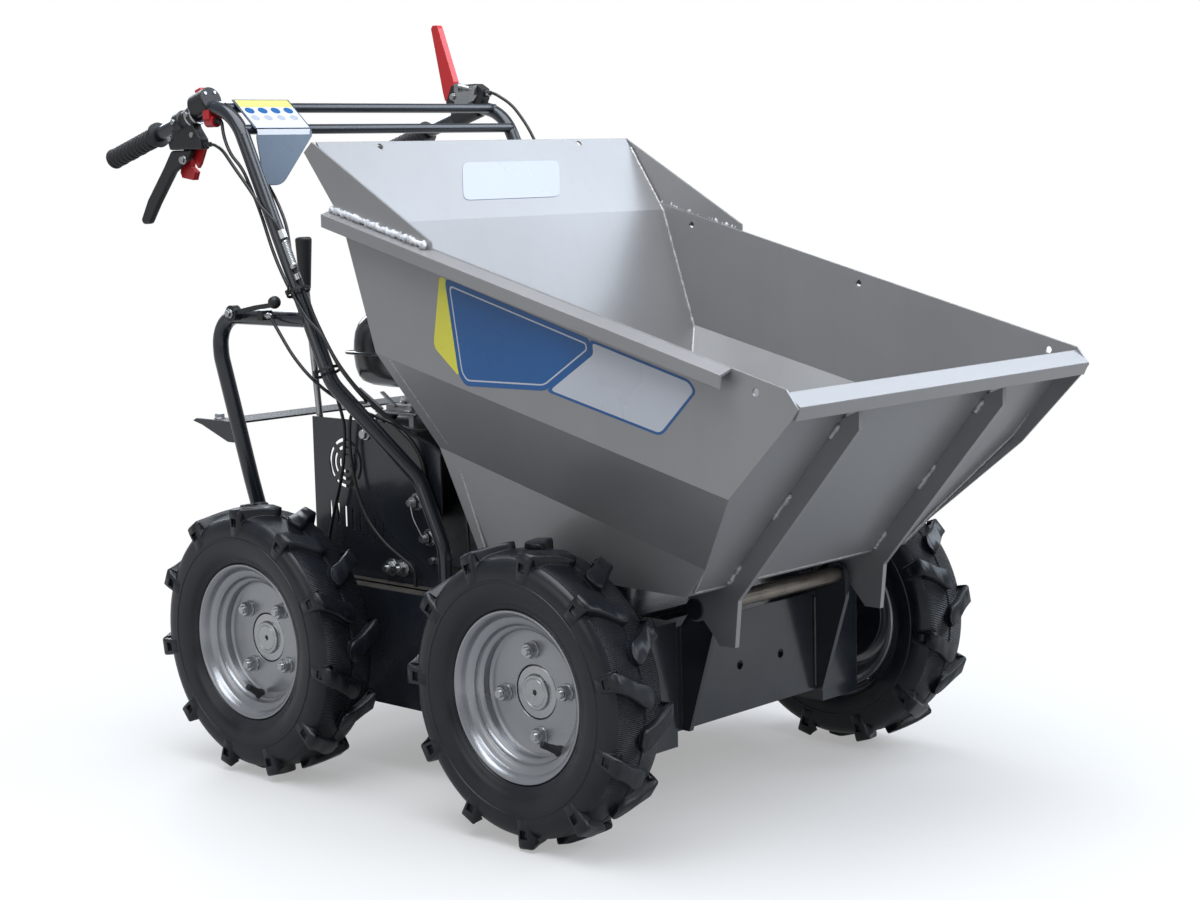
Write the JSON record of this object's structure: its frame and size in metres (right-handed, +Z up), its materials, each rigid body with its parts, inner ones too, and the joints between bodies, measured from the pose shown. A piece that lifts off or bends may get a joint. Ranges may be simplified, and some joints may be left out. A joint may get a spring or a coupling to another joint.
{
  "type": "site dumper",
  "caption": "Walk-behind site dumper with driven wheels, a petrol engine, a bent-tube handlebar and a steel skip that tips forward.",
  "frame": {"origin": "on the ground, under the middle of the whole machine", "axes": "+X forward, the way the skip tips; +Y the machine's left; +Z up"},
  "size_m": [1.3989, 0.776, 1.122],
  "materials": {
    "chassis_paint": "gloss",
    "steel": "satin",
    "engine_metal": "satin",
    "black_plastic": "matte",
    "tank_paint": "gloss",
    "silencer_steel": "satin",
    "grip_rubber": "matte",
    "red_plastic": "gloss",
    "tyre": "matte",
    "rim_paint": "satin",
    "skip_paint": "satin"
  },
  "bodies": {
    "chassis": {"chain_case_right": "chassis_paint", "chain_case_left": "chassis_paint", "front_plate": "chassis_paint", "tip_shaft": "steel", "engine_deck": "chassis_paint", "gearbox": "chassis_paint", "side_panel_right": "chassis_paint", "side_panel_left": "chassis_paint", "engine_block": "engine_metal", "recoil_cover": "black_plastic", "fuel_tank": "tank_paint", "air_cleaner": "black_plastic", "silencer": "silencer_steel", "belt_cover": "black_plastic", "handle_tube_right": "chassis_paint", "handle_tube_left": "chassis_paint", "stay_right": "chassis_paint", "stay_left": "chassis_paint", "cross_bars": "chassis_paint", "rear_shelf": "chassis_paint", "label_plate": "chassis_paint", "grips": "grip_rubber", "right_clamp": "black_plastic", "brake_lever": "black_plastic", "latch_lever": "red_plastic", "switch_box": "black_plastic", "left_bracket": "black_plastic", "left_lever": "red_plastic", "throttle_lever": "black_plastic", "gear_lever": "steel", "switch_knobs": "red_plastic", "gear_knob": "black_plastic", "throttle_stop": "black_plastic", "cable_clutch": "black_plastic", "cable_drive": "black_plastic", "cable_stop": "black_plastic", "cable_throttle": "black_plastic", "cable_left": "black_plastic"},
    "wheel_front_right": {"tyre_front_right": "tyre", "rim_front_right": "rim_paint", "hub_front_right": "steel"},
    "wheel_front_left": {"tyre_front_left": "tyre", "rim_front_left": "rim_paint", "hub_front_left": "steel"},
    "wheel_rear_right": {"tyre_rear_right": "tyre", "rim_rear_right": "rim_paint", "hub_rear_right": "steel"},
    "wheel_rear_left": {"tyre_rear_left": "tyre", "rim_rear_left": "rim_paint", "hub_rear_left": "steel"},
    "skip": {"skip_side_right": "skip_paint", "skip_side_left": "skip_paint", "skip_front": "skip_paint", "skip_floor": "skip_paint", "skip_back": "skip_paint", "skip_wings": "skip_paint", "skip_ribs": "skip_paint"}
  },
  "joints": [
    {"name": "spin_front_right", "type": "hinge", "parent": "chassis", "child": "wheel_front_right", "pos_m": [0.27105, -0.337, 0.2], "axis": [0, 1, 0], "continuous": true},
    {"name": "spin_front_left", "type": "hinge", "parent": "chassis", "child": "wheel_front_left", "pos_m": [0.27105, 0.337, 0.2], "axis": [0, 1, 0], "continuous": true},
    {"name": "spin_rear_right", "type": "hinge", "parent": "chassis", "child": "wheel_rear_right", "pos_m": [-0.28495, -0.337, 0.2], "axis": [0, 1, 0], "continuous": true},
    {"name": "spin_rear_left", "type": "hinge", "parent": "chassis", "child": "wheel_rear_left", "pos_m": [-0.28495, 0.337, 0.2], "axis": [0, 1, 0], "continuous": true},
    {"name": "skip_tip", "type": "hinge", "parent": "chassis", "child": "skip", "pos_m": [0.40005, 0, 0.298], "axis": [0, 1, 0], "range_deg": [0, 75]}
  ]
}
